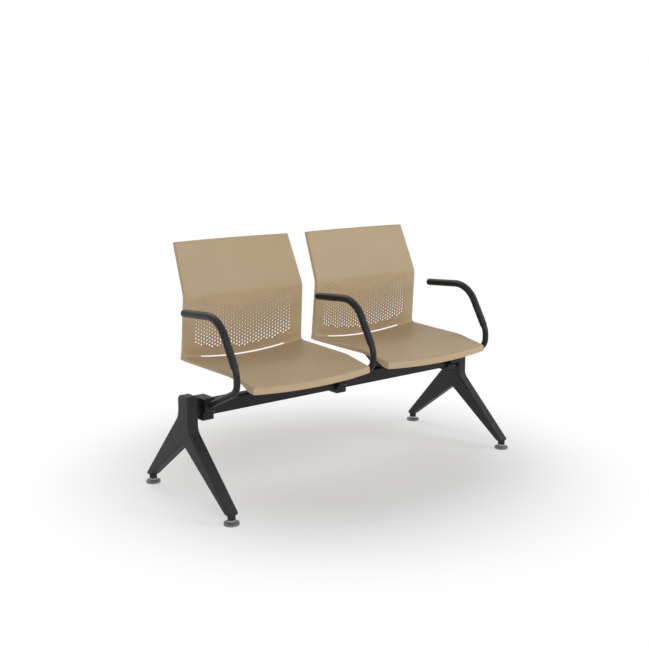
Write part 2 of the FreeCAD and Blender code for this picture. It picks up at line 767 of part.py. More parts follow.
def cutter(label, shape_and_start):
    shape, start = shape_and_start
    feature = doc.addObject("Part::Feature", label)
    feature.Shape = shape
    feature.Placement = Placement(Vector(0, start, 0), NO_TURN)
    return feature


SCREW_SPOTS = [(side, row) for side in (-1, 1) for row in ("front", "rear")]


def screw_at(side, row):
    x = f"{side} * (carrier_span / 2 + carrier_flange / 2 - carrier_sheet / 2)"
    y = "-screw_front_reach" if row == "front" else "screw_rear_reach"
    return x, y


def left_shell():
    slab = common("shell_slab", shell_loft("outer_loft", outer_section), shell_frame("outer_frame", 0))
    room = common("shell_room", shell_loft("inner_loft", inner_section),
                  shell_frame("inner_frame", size("rim_wall")))
    skin = cut("shell_skin", slab, room)
    bosses = []
    pilots = []
    for side, row in SCREW_SPOTS:
        x, y = screw_at(side, row)
        name = f"{row}_{'left' if side < 0 else 'right'}"
        boss = prism(f"seat_boss_{name}", ROUND_SIDES, "seat_boss_dia / 2", "carrier_drop")
        place(boss, x, y, "seat_level - carrier_drop")
        doc.recompute()
        spot = boss.Placement.Base
        boss.setExpression("Height", None)
        boss.Height = seat_surface(spot.x, spot.y) - size("shell_wall") / 2 - spot.z
        bosses.append(boss)
        pilot = prism(f"screw_pilot_{name}", ROUND_SIDES, "screw_dia / 2 + bolt_gap",
                      "screw_reach + 2 * bore_spare")
        pilots.append(place(pilot, x, y, "seat_level - carrier_drop - bore_spare"))
    whole = fuse("shell_with_bosses", skin, *bosses)
    shell = cut("seat_shell_left", whole, cutter("fold_slot", slot_cutter()),
                cutter("back_holes", perforation()), *pilots)
    place(shell, SEAT_X)
    return shell


# Carrier: a pressed channel on the beam whose two webs hold the seat.

def carrier_outline():
    top = size("seat_level") - size("carrier_drop")
    foot = size("beam_level") + size("beam_height") / 2
    end = top - size("carrier_end_height")
    half = size("beam_depth") / 2
    front = -size("carrier_front_reach")
    rear = size("carrier_rear_reach")
    corner = size("carrier_end_radius")
    sweep = size("carrier_foot_radius")
    knee = foot + size("carrier_foot_rise")
    return rounded([
        (front, top, 0), (front, end, corner),
        (-half - size("carrier_foot_run"), knee, sweep), (-half, foot, 0), (half, foot, 0),
        (half + size("carrier_heel_run"), knee, sweep), (rear, end, corner), (rear, top, 0)])


def left_carrier():
    body = new_body("seat_carrier_left")
    webs = body_sketch(body, "web_outline", "YZ_Plane", carrier_outline())
    body_pad(body, "web_block", webs, "carrier_span")
    body_solid(body, "SubtractiveBox", "channel_room", NO_TURN,
               ("-carrier_span / 2 + carrier_sheet", "-2 * carrier_front_reach",
                "beam_level + beam_height / 2 + carrier_sheet"),
               Length="carrier_span - 2 * carrier_sheet", Width="4 * carrier_front_reach",
               Height="seat_level - beam_level")
    for side in ("-carrier_span / 2 - carrier_flange + carrier_sheet",
                 "carrier_span / 2 - carrier_sheet"):
        body_solid(body, "AdditiveBox", "screw_flange", NO_TURN,
                   (side, "-carrier_front_reach", "seat_level - carrier_drop - carrier_sheet"),
                   Length="carrier_flange", Width="carrier_front_reach + carrier_rear_reach",
                   Height="carrier_sheet")
    for side, row in SCREW_SPOTS:
        x, y = screw_at(side, row)
        body_solid(body, "SubtractiveCylinder", "screw_hole", NO_TURN,
                   (x, y, "seat_level - carrier_drop - 2 * carrier_sheet"),
                   Radius="screw_dia / 2 + bolt_gap", Height="3 * carrier_sheet")
    for side, row in CARRIER_BOLTS:
        x, y = carrier_bolt_at("0", side, row)
        body_solid(body, "SubtractiveCylinder", "base_hole", NO_TURN, (x, y, "beam_level"),
                   Radius="bolt_dia / 2 + bolt_gap", Height="beam_height")
    place(body, SEAT_X)
    return body


def left_carrier_bolts():
    bolts = []
    for number, (side, row) in enumerate(CARRIER_BOLTS):
        x, y = carrier_bolt_at(SEAT_X, side, row)
        bolts.append(bolt(f"carrier_bolt_{number}", "bolt_dia", "carrier_sheet + 2 * beam_wall",
                          TURN_DOWN, (x, y, "beam_level + beam_height / 2 + carrier_sheet")))
    return group("carrier_bolts_left", *bolts)


def left_seat_screws():
    screws = []
    for number, (side, row) in enumerate(SCREW_SPOTS):
        x, y = screw_at(side, row)
        screws.append(bolt(f"seat_screw_{number}", "screw_dia", "carrier_sheet + screw_reach", NO_TURN,
                           (f"{SEAT_X} + {x}", y, "seat_level - carrier_drop - carrier_sheet")))
    return group("seat_screws_left", *screws)


# The whole bench: the left half and the middle arm are made, the right half mirrors the left.

left_half = [left_leg(), left_leg_bolts(), *left_glide("front", "-foot_reach"),
             *left_glide("rear", "foot_reach"), *arm("left", "-seat_pitch"),
             *clamp("left", "-seat_pitch"), left_shell(), left_carrier(), left_carrier_bolts(),
             left_seat_screws()]
right_half = [mirrored(piece.Label.replace("left", "right"), piece) for piece in left_half]
nodes = [beam(), *left_half, *right_half, *arm("middle", "0"), *clamp("middle", "0")]
doc.recompute()

for thing in doc.Objects:
    if "Invalid" in thing.State or "Error" in thing.State:
        raise RuntimeError(f"{thing.Label} did not compute: {thing.State}")
for node in nodes:
    if node.Shape.isNull() or not node.Shape.isValid():
        raise RuntimeError(f"{node.Label} has no valid shape")

os.makedirs("parts", exist_ok=True)
for node in nodes:
    node.Shape.exportStep(f"parts/{node.Label}.step")
    print(f"{node.Label}: {len(node.Shape.Solids)} solids, {node.Shape.Volume / 1000:.1f} cm3")
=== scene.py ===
# %% [markdown]
# # A two-place beam bench
#
# A steel beam stands on two cast legs and carries two moulded shells and three bent arms.
# The construction comes from the frame, in metres, with +Z up and -Y the side people sit
# down from. This file gives every piece its finish, and makes anew the pieces that live by
# their surface: the perforated shells, and the arms with their soft grips.

# %% Load the frame

import math

import bmesh
import bpy
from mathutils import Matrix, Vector, geometry


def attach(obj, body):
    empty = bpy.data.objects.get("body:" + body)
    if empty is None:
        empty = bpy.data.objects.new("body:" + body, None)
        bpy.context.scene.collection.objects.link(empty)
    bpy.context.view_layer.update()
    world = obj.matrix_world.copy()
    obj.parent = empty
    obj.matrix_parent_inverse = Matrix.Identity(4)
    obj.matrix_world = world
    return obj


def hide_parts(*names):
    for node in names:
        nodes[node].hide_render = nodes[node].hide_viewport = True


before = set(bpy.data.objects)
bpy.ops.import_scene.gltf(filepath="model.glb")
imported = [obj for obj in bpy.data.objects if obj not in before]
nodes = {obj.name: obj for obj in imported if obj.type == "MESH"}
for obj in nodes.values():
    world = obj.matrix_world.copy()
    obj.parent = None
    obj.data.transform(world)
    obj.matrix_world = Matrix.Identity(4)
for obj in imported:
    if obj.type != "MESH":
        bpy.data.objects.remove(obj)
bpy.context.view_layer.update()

# %% [markdown]
# ## Camera
#
# The view is from the left front, a little above the seats, with a long lens. A long lens
# from further away keeps the legs nearly parallel, as in a catalogue picture. The place and
# the turn of the camera were worked out from the seats, the beam and the near leg.

# %% Place the camera

CAMERA_PLACE = (-2.250, -2.771, 1.214)
CAMERA_TILT = 79.04
CAMERA_HEADING = -38.40
SENSOR_WIDTH = 36.0
LENS = 56.5


def add_camera():
    data = bpy.data.cameras.new("camera")
    data.sensor_fit = "HORIZONTAL"
    data.sensor_width = SENSOR_WIDTH
    data.lens = LENS
    camera = bpy.data.objects.new("camera", data)
    camera.location = CAMERA_PLACE
    camera.rotation_euler = (math.radians(CAMERA_TILT), 0, math.radians(CAMERA_HEADING))
    bpy.context.scene.collection.objects.link(camera)
    bpy.context.scene.camera = camera
    return camera


camera = add_camera()
print(camera.name, "with a", LENS, "mm lens at", CAMERA_PLACE)

# %% [markdown]
# ## Small helpers for materials
#
# A finish is a few nodes in front of one Principled shader. Noise that reads the object's
# own coordinates gives every piece a grain of real size, whatever the size of the piece.
# One helper starts a material, one adds noise to it, and three let that noise move a value,
# a colour or the height of the surface. The noise rarely leaves its middle range, so that
# range alone is stretched over the change.

# %% Define the material helpers

NOISE_LOW = 0.3
NOISE_HIGH = 0.7


def new_material(name, roughness, metallic=0.0, specular=0.5):
    """A material with its shader, its links and coordinates in metres."""
    material = bpy.data.materials.new(name)
    material.use_nodes = True
    tree = material.node_tree
    shader = tree.nodes["Principled BSDF"]
    shader.inputs["Roughness"].default_value = roughness
    shader.inputs["Metallic"].default_value = metallic
    shader.inputs["Specular IOR Level"].default_value = specular
    coordinates = tree.nodes.new("ShaderNodeTexCoord")
    return material, tree, shader, coordinates.outputs["Object"]


def add_noise(tree, place, scale, detail=2.0):
    noise = tree.nodes.new("ShaderNodeTexNoise")
    noise.inputs["Scale"].default_value = scale
    noise.inputs["Detail"].default_value = detail
    tree.links.new(place, noise.inputs["Vector"])
    return noise.outputs["Fac"]


def vary(tree, factor, low, high, target):
    """Let a noise move a value between low and high."""
    ramp = tree.nodes.new("ShaderNodeMapRange")
    ramp.inputs["From Min"].default_value = NOISE_LOW
    ramp.inputs["From Max"].default_value = NOISE_HIGH
    ramp.inputs["To Min"].default_value = low
    ramp.inputs["To Max"].default_value = high
    tree.links.new(factor, ramp.inputs["Value"])
    tree.links.new(ramp.outputs["Result"], target)


def tint(tree, factor, first, second, target):
    """Let a noise move a colour between two near shades."""
    ramp = tree.nodes.new("ShaderNodeValToRGB")
    ramp.color_ramp.elements[0].position = NOISE_LOW
    ramp.color_ramp.elements[0].color = (*first, 1)
    ramp.color_ramp.elements[1].position = NOISE_HIGH
    ramp.color_ramp.elements[1].color = (*second, 1)
    tree.links.new(factor, ramp.inputs["Fac"])
    tree.links.new(ramp.outputs["Color"], target)


def add_bump(tree, shader, height, depth):
    bump = tree.nodes.new("ShaderNodeBump")
    bump.inputs["Distance"].default_value = depth
    tree.links.new(height, bump.inputs["Height"])
    tree.links.new(bump.outputs["Normal"], shader.inputs["Normal"])


# %% [markdown]
# ## The finish of the shells
#
# The shells are a satin tan moulding: a fine leathery grain, and a tone that drifts a
# little over a hand's breadth. A photo of leather would repeat and would stretch over the
# fold, so noise makes both. The light hardly reaches the walls of the holes, and seen at a
# slant the smallest holes show nothing else, so the walls get painted shade: a dark brown
# that stands in for the shadow inside each hole, not a colour of the moulding.

# %% Make the finish of the shells


def moulded_tan():
    material, tree, shader, place = new_material("moulded_tan", 0.5, specular=0.4)
    drift = add_noise(tree, place, 7.0, 3.0)
    tint(tree, drift, (0.552, 0.410, 0.246), (0.576, 0.430, 0.260), shader.inputs["Base Color"])
    vary(tree, add_noise(tree, place, 35.0), 0.46, 0.54, shader.inputs["Roughness"])
    add_bump(tree, shader, add_noise(tree, place, 1300.0, 3.0), 0.00006)
    return material


def hole_painted_shade():
    """Painted shade for the cut wall of a hole, which the light hardly reaches."""
    material, tree, shader, place = new_material("hole_painted_shade", 0.7, specular=0.1)
    # Painted shade: a dark brown that stands in for the shadow inside each hole.
    tint(tree, add_noise(tree, place, 7.0, 3.0), (0.20, 0.135, 0.075), (0.22, 0.15, 0.085),
         shader.inputs["Base Color"])
    return material


TAN = moulded_tan()
HOLE_PAINTED_SHADE = hole_painted_shade()
print("shell finishes:", TAN.name, "and", HOLE_PAINTED_SHADE.name)

# %% [markdown]
# ## Powder coat
#
# Castings, beam, brackets and arm tubes wear a black powder coat. It isn't quite smooth:
# tiny bumps break up its reflections. The coats differ only in tone and gloss, so one
# function makes all three. That of the legs is a little paler and duller than the others.

# %% Make the powder coats

COAT_GRAIN = 1500.0
COAT_BUMP = 0.00008
COAT_UNEVENNESS = 0.05


def powder_coat(name, dark, light, roughness):
    material, tree, shader, place = new_material(name, roughness, specular=0.3)
    tint(tree, add_noise(tree, place, 18.0, 3.0), dark, light, shader.inputs["Base Color"])
    vary(tree, add_noise(tree, place, 60.0), roughness - COAT_UNEVENNESS,
         roughness + COAT_UNEVENNESS, shader.inputs["Roughness"])
    add_bump(tree, shader, add_noise(tree, place, COAT_GRAIN), COAT_BUMP)
    return material


LEG_COAT = powder_coat("leg_coat", (0.017, 0.017, 0.018), (0.022, 0.022, 0.023), 0.55)
BEAM_COAT = powder_coat("beam_coat", (0.008, 0.008, 0.009), (0.011, 0.011, 0.012), 0.45)
TUBE_COAT = powder_coat("tube_coat", (0.008, 0.008, 0.009), (0.011, 0.011, 0.012), 0.42)
print("coats:", LEG_COAT.name, BEAM_COAT.name, TUBE_COAT.name)

# %% [markdown]
# ## Grips and glide discs
#
# The grips are smooth moulded foam with a soft shine, and the glide discs are plain grey
# plastic. One flat colour would do from far off. A faint change of tone and a very fine
# grain keep them looking like things one could touch.

# %% Make the foam and the grey plastic


def grip_foam():
    material, tree, shader, place = new_material("grip_foam", 0.45, specular=0.28)
    tint(tree, add_noise(tree, place, 25.0), (0.006, 0.0065, 0.008), (0.008, 0.0085, 0.010),
         shader.inputs["Base Color"])
    vary(tree, add_noise(tree, place, 90.0), 0.38, 0.46, shader.inputs["Roughness"])
    add_bump(tree, shader, add_noise(tree, place, 2200.0), 0.00003)
    return material


def glide_plastic():
    material, tree, shader, place = new_material("glide_plastic", 0.5)
    tint(tree, add_noise(tree, place, 60.0, 3.0), (0.16, 0.16, 0.16), (0.20, 0.20, 0.20),
         shader.inputs["Base Color"])
    add_bump(tree, shader, add_noise(tree, place, 1500.0), 0.00005)
    return material


FOAM = grip_foam()
GREY = glide_plastic()
print("plastics:", FOAM.name, "and", GREY.name)

# %% [markdown]
# ## Plated steel
#
# Bolts, screws and levelling studs show bare plating and no paint, so their shader is fully
# metallic. The bolts are blackened and the studs are zinc. Gloss that varies over a few
# millimetres gives the dull, handled look of plating.

# %% Make the plated steels


def plated_steel(name, dark, light):
    material, tree, shader, place = new_material(name, 0.35, metallic=1.0)
    tint(tree, add_noise(tree, place, 80.0, 3.0), dark, light, shader.inputs["Base Color"])
    vary(tree, add_noise(tree, place, 300.0), 0.28, 0.42, shader.inputs["Roughness"])
    add_bump(tree, shader, add_noise(tree, place, 3000.0), 0.00002)
    return material


BLACK_STEEL = plated_steel("black_steel", (0.05, 0.05, 0.052), (0.08, 0.08, 0.082))
ZINC = plated_steel("zinc", (0.52, 0.52, 0.50), (0.60, 0.60, 0.58))
print("steels:", BLACK_STEEL.name, "and", ZINC.name)

# %% [markdown]
# ## Helpers for meshes
#
# A mesh here is a list of points and a list of faces. One helper turns such lists into an
# object that rides on a body. It lets the mesh library turn all the faces outwards, shades
# the surface smooth and keeps an edge sharp only where two faces meet at a real angle. The
# others join rings of points, and draw a line whose corners are rounded.

# %% Define the mesh helpers

SHARP_ANGLE = math.radians(32)


def make_piece(name, points, faces, material, body):
    mesh = bpy.data.meshes.new(name)
    mesh.from_pydata(points, [], faces)
    work = bmesh.new()
    work.from_mesh(mesh)
    bmesh.ops.recalc_face_normals(work, faces=work.faces)
    work.to_mesh(mesh)
    work.free()
    mesh.shade_smooth()
    mesh.set_sharp_from_angle(angle=SHARP_ANGLE)
    mesh.materials.append(material)
    piece = bpy.data.objects.new(name, mesh)
    bpy.context.scene.collection.objects.link(piece)
    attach(piece, body)
    return piece


def bridge(first, second):
    """Quads between two closed rings of as many points."""
    count = len(first)
    return [(first[i], first[(i + 1) % count], second[(i + 1) % count], second[i])
            for i in range(count)]


def rounded_line(corners, line_steps, arc_steps):
    """Points along (y, z, radius) corners, each corner rounded by an arc of its radius."""
    points = [Vector(corners[0][:2])]
    for before, here, after in zip(corners, corners[1:], corners[2:]):
        corner = Vector(here[:2])
        back = (Vector(before[:2]) - corner).normalized()
        ahead = (Vector(after[:2]) - corner).normalized()
        half = back.angle(ahead) / 2
        tangent = here[2] / math.tan(half)
        centre = corner + (back + ahead).normalized() * here[2] / math.sin(half)
        start = corner + back * tangent
        end = corner + ahead * tangent
        begin = points[-1]
        points += [begin.lerp(start, step / line_steps) for step in range(1, line_steps + 1)]
        spoke = start - centre
        turn = spoke.angle_signed(end - centre) * -1
        for step in range(1, arc_steps + 1):
            angle = turn * step / arc_steps
            cos, sin = math.cos(angle), math.sin(angle)
            points.append(centre + Vector((spoke.x * cos - spoke.y * sin,
                                           spoke.x * sin + spoke.y * cos)))
    begin = points[-1]
    last = Vector(corners[-1][:2])
    points += [begin.lerp(last, step / line_steps) for step in range(1, line_steps + 1)]
    return points


def running_lengths(points):
    lengths = [0.0]
    for before, here in zip(points, points[1:]):
        lengths.append(lengths[-1] + (here - before).length)
    return lengths


# %% [markdown]
# ## The side views of the shell
#
# Each seat is one moulding. Its side view has a leaning top, a kink at the small of the
# back, a tight fold and a seat that falls away at the front. The middle of the shell lies
# deeper than its sides, and its sides stay straight for longer before they fall away. So
# there are two side views, one at the edge and one in the middle. Each is a list of corners
# with radii, as a maker would draw it. Both get as many points, so that they can be blended.

# %% Draw the side views

SEAT_LEVEL = 0.447
FRONT_REACH = 0.228
FRONT_DROP = 0.028
BREAK_REACH = 0.035
BREAK_HOLLOW = 0.017
SIDE_BREAK_REACH = 0.120
SIDE_BREAK_DROP = 0.006
FOLD_REACH = 0.168
KINK_REACH = 0.152
KINK_RISE = 0.208
TOP_REACH = 0.227
TOP_RISE = 0.386
BACK_HOLLOW = 0.018
SEAT_HOLLOW = 0.028
FRONT_HOLLOW = 0.009
FRONT_BOW = 0.022
KINK_RADIUS = 0.060
FOLD_RADIUS = 0.012
BREAK_RADIUS = 0.250
LINE_STEPS = 14
ARC_STEPS = 10


def shell_section(middle):
    """Corners (y, z, radius) of the sitting surface, at the edge (0) or in the middle (1)."""
    behind = BACK_HOLLOW * middle
    break_y = -SIDE_BREAK_REACH + (SIDE_BREAK_REACH - BREAK_REACH) * middle
    break_z = SEAT_LEVEL - SIDE_BREAK_DROP - (BREAK_HOLLOW - SIDE_BREAK_DROP) * middle
    front_z = SEAT_LEVEL - FRONT_DROP - FRONT_HOLLOW * middle
    return [
        (TOP_REACH + behind, SEAT_LEVEL + TOP_RISE, 0),
        (KINK_REACH + behind, SEAT_LEVEL + KINK_RISE, KINK_RADIUS),
        (FOLD_REACH + behind, SEAT_LEVEL - SEAT_HOLLOW * middle, FOLD_RADIUS),
        (break_y, break_z, BREAK_RADIUS),
        (-FRONT_REACH - FRONT_BOW * middle, front_z, 0)]


EDGE_LINE = rounded_line(shell_section(0), LINE_STEPS, ARC_STEPS)
MIDDLE_LINE = rounded_line(shell_section(1), LINE_STEPS, ARC_STEPS)
STATIONS = running_lengths(MIDDLE_LINE)
SHELL_LENGTH = STATIONS[-1]
FOLD_END = STATIONS[2 * (LINE_STEPS + ARC_STEPS)]
FOLD_ARC = FOLD_END - STATIONS[2 * LINE_STEPS + ARC_STEPS]
FOLD_TURN = FOLD_ARC / FOLD_RADIUS
print("shell: section", round(SHELL_LENGTH, 3), "m long in the middle")

# %% [markdown]
# ## The shell as a surface
#
# A grid could be pushed into this shape by hand, but then the holes would have no way to
# find their places on it. Here two numbers name any point: x across the seat, and the
# length along the middle section from the top edge. Between the middle and the sides the
# surface rises with the square of x, which makes the shallow hollow that one sits in.

# %% Define the shell's surface

SHELL_SPAN = 0.257


def section_place(along):
    """Which stretch of the section a length falls in, and how far along it."""
    index = 1
    while index < len(STATIONS) - 1 and STATIONS[index] < along:
        index += 1
    share = (along - STATIONS[index - 1]) / (STATIONS[index] - STATIONS[index - 1])
    return index, share


def on_shell(x, along):
    index, share = section_place(along)
    edge = EDGE_LINE[index - 1].lerp(EDGE_LINE[index], share)
    middle = MIDDLE_LINE[index - 1].lerp(MIDDLE_LINE[index], share)
    y, z = middle.lerp(edge, (x / SHELL_SPAN) ** 2)
    return Vector((x, y, z))


def shell_axes(x, along, step=0.0005):
    """Unit vectors across the shell, along it, and out of its sitting side."""
    across = (on_shell(x + step, along) - on_shell(x - step, along)).normalized()
    down = (on_shell(x, along + step) - on_shell(x, along - step)).normalized()
    return across, down, down.cross(across).normalized()


def length_at_level(x, level):
    """The length at which the shell passes a height, above the fold."""
    low, high = 0.0, FOLD_END
    while high - low > 1e-5:
        half = (low + high) / 2
        if on_shell(x, half).z > level:
            low = half
        else:
            high = half
    return low


print("shell: the fold is", round(on_shell(0, FOLD_END).z, 3), "m up in the middle")

# %% [markdown]
# ## The outline of the shell
#
# Seen from the front the back narrows from the fold to the kink and more above it, and seen
# from above the seat narrows towards the knees. The outline runs once round the moulding.
# Its four corners are mitred: the edge that turns back meets itself there in a crisp crease.

# %% Define the outline

FOLD_HALF = 0.252
KINK_HALF = 0.2475
TOP_HALF = 0.2375
FRONT_HALF = 0.238
EDGE_RADIUS = 0.005
CORNER_RADIUS = 0.0004
CORNER_TURNS = [math.radians(turn) for turn in (0, 20, 41, 49, 70, 90)]
OUTLINE_STEP = 0.009


def raw_half_width(along):
    index, share = section_place(along)
    y, z = EDGE_LINE[index - 1].lerp(EDGE_LINE[index], share)
    rise = z - SEAT_LEVEL
    if rise > KINK_RISE:
        share = (rise - KINK_RISE) / (TOP_RISE - KINK_RISE)
        return KINK_HALF + (TOP_HALF - KINK_HALF) * share
    if y < FOLD_REACH and rise < FOLD_RADIUS:
        return FOLD_HALF + (FRONT_HALF - FOLD_HALF) * (FOLD_REACH - y) / (FOLD_REACH + FRONT_REACH)
    return FOLD_HALF + (KINK_HALF - FOLD_HALF) * max(rise, 0) / KINK_RISE


def half_width(along, soft=0.02):
    """The half width, softened over a short stretch so that the kink isn't a point."""
    return sum(raw_half_width(along + soft * step) for step in (-1, -0.5, 0, 0.5, 1)) / 5


def outline():
    """Places and outward directions round the shell, a rounded edge's width inside its rim."""
    radius = CORNER_RADIUS
    count = int(SHELL_LENGTH / OUTLINE_STEP)
    first, last = EDGE_RADIUS, SHELL_LENGTH - EDGE_RADIUS
    side_steps = [first + (last - first) * step / count for step in range(1, count)]
    top_half = half_width(0) - EDGE_RADIUS
    front_half = half_width(SHELL_LENGTH) - EDGE_RADIUS
    across = int(2 * front_half / OUTLINE_STEP)
    spread = [2 * step / across - 1 for step in range(1, across)]

    left = [((EDGE_RADIUS - half_width(along), along), (-1, 0)) for along in side_steps]
    front = [((front_half * share, last), (0, 1)) for share in spread]
    top = [((top_half * share, first), (0, -1)) for share in spread]
    lower_left = []
    upper_left = []
    for turn in CORNER_TURNS:
        cos, sin = math.cos(turn), math.sin(turn)
        mitre = 1 / max(cos, sin)
        lower_left.append(((-front_half + radius * (1 - cos), last - radius * (1 - sin)),
                           (-cos * mitre, sin * mitre)))
        upper_left.append(((-top_half + radius * (1 - sin), first + radius * (1 - cos)),
                           (-sin * mitre, -cos * mitre)))

    def mirror(places):
        return [((-x, along), (-u, v)) for (x, along), (u, v) in reversed(places)]

    return [*left, *lower_left, *front, *mirror(lower_left), *mirror(left), *mirror(upper_left),
            *reversed(top), *upper_left]


OUTLINE = outline()
print("outline:", len(OUTLINE), "points, half width", round(half_width(0.0), 4), "m at the top")

# %% [markdown]
# ## The perforation
#
# The holes stand in staggered columns. They are widest above the slot and shrink to small
# dots below the kink, where the field ends in a curve that rises to the sides. A few
# shallow dimples carry on below the lowest holes at the sides. Below them a long slot
# follows the fold.
#
# Every hole is first found as a point of the flat plan: x across and the length along.

# %% Lay out the holes and the slot

COLUMN_PITCH = 0.0116
HOLE_STEP = 0.0125
FIELD_COLUMNS = 17
FIELD_HALF = COLUMN_PITCH * FIELD_COLUMNS
LOW_MIDDLE = 0.006
LOW_SIDE = 0.036
HIGH_MIDDLE = 0.153
HIGH_SIDE = 0.206
LARGEST_HOLE = 0.0080
SMALLEST_HOLE = 0.0026
DIMPLE = 0.0022
DIMPLE_DEPTH = 0.0006
HOLE_SHRINK = 0.9
HOLE_SIDES = 14
SLOT_HALF = 0.181
SLOT_HEIGHT = 0.0042
SLOT_RISE = 0.006
SLOT_END = 0.004


def field_level(x, middle, side):
    return SEAT_LEVEL + middle + (side - middle) * (x / FIELD_HALF) ** 2


def holes():
    """(x, along, radius) of each hole, and of each dimple below the field."""
    through, dimples = [], []
    for column in range(-FIELD_COLUMNS, FIELD_COLUMNS + 1):
        x = column * COLUMN_PITCH
        low = field_level(x, LOW_MIDDLE, LOW_SIDE)
        high = field_level(x, HIGH_MIDDLE, HIGH_SIDE)
        level = SEAT_LEVEL - HOLE_STEP + (HOLE_STEP / 2 if column % 2 else 0)
        while level < high:
            share = (level - low) / (high - low)
            along = length_at_level(x, level)
            if share >= 0:
                dia = LARGEST_HOLE + (SMALLEST_HOLE - LARGEST_HOLE) * share ** HOLE_SHRINK
                through.append((x, along, dia / 2))
            elif level > low - HOLE_STEP and abs(x) > SLOT_HALF / 2:
                dimples.append((x, along, DIMPLE / 2))
            level += HOLE_STEP
    return through, dimples


def fold_level(x):
    return SEAT_LEVEL - SEAT_HOLLOW * (1 - (x / FOLD_HALF) ** 2)


def slot_outline(steps=44):
    """A closed (x, along) outline of the slot, with rounded ends."""
    points = []
    for rise, direction in ((-0.5, 1), (0.5, -1)):
        for step in range(steps):
            x = direction * SLOT_HALF * (2 * step / steps - 1)
            left = SLOT_HALF - abs(x)
            narrow = 1.0 if left > SLOT_END else math.sqrt(1 - (1 - left / SLOT_END) ** 2)
            level = fold_level(x) + SLOT_RISE + SLOT_HEIGHT * rise * narrow
            points.append((x, length_at_level(x, level)))
    return points


HOLES, DIMPLES = holes()
SLOT = slot_outline()
print("perforation:", len(HOLES), "holes and", len(DIMPLES), "dimples")

# %% [markdown]
# ## Points between the holes
#
# A modeller could cut every hole with a boolean, but hundreds of them are slow and leave
# messy edges. Here the shell is first a flat plan with holes, and is curved afterwards. It
# can only curve where it has points, so loose ones go between the holes. None comes so near
# to a hole that it would make thin slivers there.

# %% Lay points between the holes

GRID_STEP = 0.012
CLEAR_OF_HOLES = 0.003


def grid_points():
    """Points between the holes that let the surface curve."""
    taken = {}
    cell = 2 * GRID_STEP
    for x, along, radius in HOLES + DIMPLES:
        taken.setdefault((int(x // cell), int(along // cell)), []).append((x, along, radius))
    slot_low = min(along for x, along in SLOT) - CLEAR_OF_HOLES
    slot_high = max(along for x, along in SLOT) + CLEAR_OF_HOLES
    points = []
    for along in STATIONS:
        if not GRID_STEP < along < SHELL_LENGTH - GRID_STEP:
            continue
        half = half_width(along) - EDGE_RADIUS - GRID_STEP / 2
        count = int(2 * half / GRID_STEP)
        for step in range(count + 1):
            x = half * (2 * step / count - 1)
            column, row = int(x // cell), int(along // cell)
            near = [hole for i in (-1, 0, 1) for j in (-1, 0, 1)
                    for hole in taken.get((column + i, row + j), [])]
            if any(math.hypot(x - hx, along - ha) < radius + CLEAR_OF_HOLES
                   for hx, ha, radius in near):
                continue
            if slot_low < along < slot_high and abs(x) < SLOT_HALF + CLEAR_OF_HOLES:
                continue
            points.append((x, along))
    return points


GRID = grid_points()
print("grid:", len(GRID), "points between the holes")

# %% [markdown]
# ## The plan, cut into triangles
#
# Every hole is a ring of points in the plan, and the triangles keep to these rings. Those
# inside a hole or the slot are left out, so that each hole is a true opening and not a
# picture of one. Those inside a dimple stay, and meet in a point that can be pressed in.

# %% Cut the plan into triangles

HOLE_CHAMFER = 0.0005
SMALLEST_EDGE = 1e-7


def circle(x, along, radius):
    return [(x + radius * math.cos(2 * math.pi * side / HOLE_SIDES),
             along + radius * math.sin(2 * math.pi * side / HOLE_SIDES))
            for side in range(HOLE_SIDES)]


def turns_left(loop):
    """Whether a closed loop runs anticlockwise."""
    return sum(first.cross(second) for first, second in zip(loop, loop[1:] + loop[:1])) > 0


class Plan:
    """The flat plan of the shell, cut into triangles."""

    def __init__(self):
        self.points = []
        self.loops = []

    def add_loop(self, points):
        first = len(self.points)
        self.points += points
        self.loops.append(list(range(first, len(self.points))))
        return self.loops[-1]

    def triangles(self, openings):
        """Triangles inside the first loop and outside the loops that are openings."""
        flat = [Vector(point) for point in self.points]
        loops = [loop if turns_left([flat[index] for index in loop]) else loop[::-1]
                 for loop in self.loops]
        found, _, faces, _, _, parents = geometry.delaunay_2d_cdt(
            flat, [], loops, 1, SMALLEST_EDGE)
        if len(found) != len(flat):
            raise RuntimeError(f"the plan has {len(flat)} points and the cut plan {len(found)}")
        return [face for face, inside in zip(faces, parents)
                if 0 in inside and not any(loop in openings for loop in inside)]


plan = Plan()
border_loop = plan.add_loop([place for place, _ in OUTLINE])
slot_loop = plan.add_loop(SLOT)
hole_loops = [plan.add_loop(circle(x, along, radius + HOLE_CHAMFER))
              for x, along, radius in HOLES]
for dimple in DIMPLES:
    plan.add_loop(circle(*dimple))
first_dimple = len(plan.points)
plan.points += [(x, along) for x, along, _ in DIMPLES]
plan.points += GRID
openings = set(range(1, 2 + len(hole_loops)))
triangles = plan.triangles(openings)
print("plan:", len(plan.points), "points and", len(triangles), "triangles")

# %% [markdown]
# ## The two skins
#
# The triangles are lifted onto the surface twice: once for the sitting side, and once a
# wall's thickness behind it. In the middle of each dimple the front skin is pressed in a
# little. The back skin has the same triangles, turned over.

# %% Lift the plan onto the surface

SHELL_WALL = 0.0035

front, back = [], []
for x, along in plan.points:
    point = on_shell(x, along)
    normal = shell_axes(x, along)[2]
    front.append(point)
    back.append(point - normal * SHELL_WALL)
for index in range(first_dimple, first_dimple + len(DIMPLES)):
    normal = shell_axes(*plan.points[index])[2]
    front[index] = front[index] - normal * DIMPLE_DEPTH

shell_points = front + back
to_back = len(front)
shell_faces = [tuple(face) for face in triangles]
shell_faces += [tuple(index + to_back for index in reversed(face)) for face in triangles]
print("skins:", len(shell_faces), "triangles")

# %% [markdown]
# ## The walls of the holes
#
# The two skins are joined inside every opening. Each hole gets a small chamfer on both
# sides and a wall between them, which will wear the painted shade of the hole walls. The
# slot gets a plain wall in the shell's own finish.

# %% Line the holes


def add_ring(ring):
    first = len(shell_points)
    shell_points.extend(ring)
    return list(range(first, len(shell_points)))


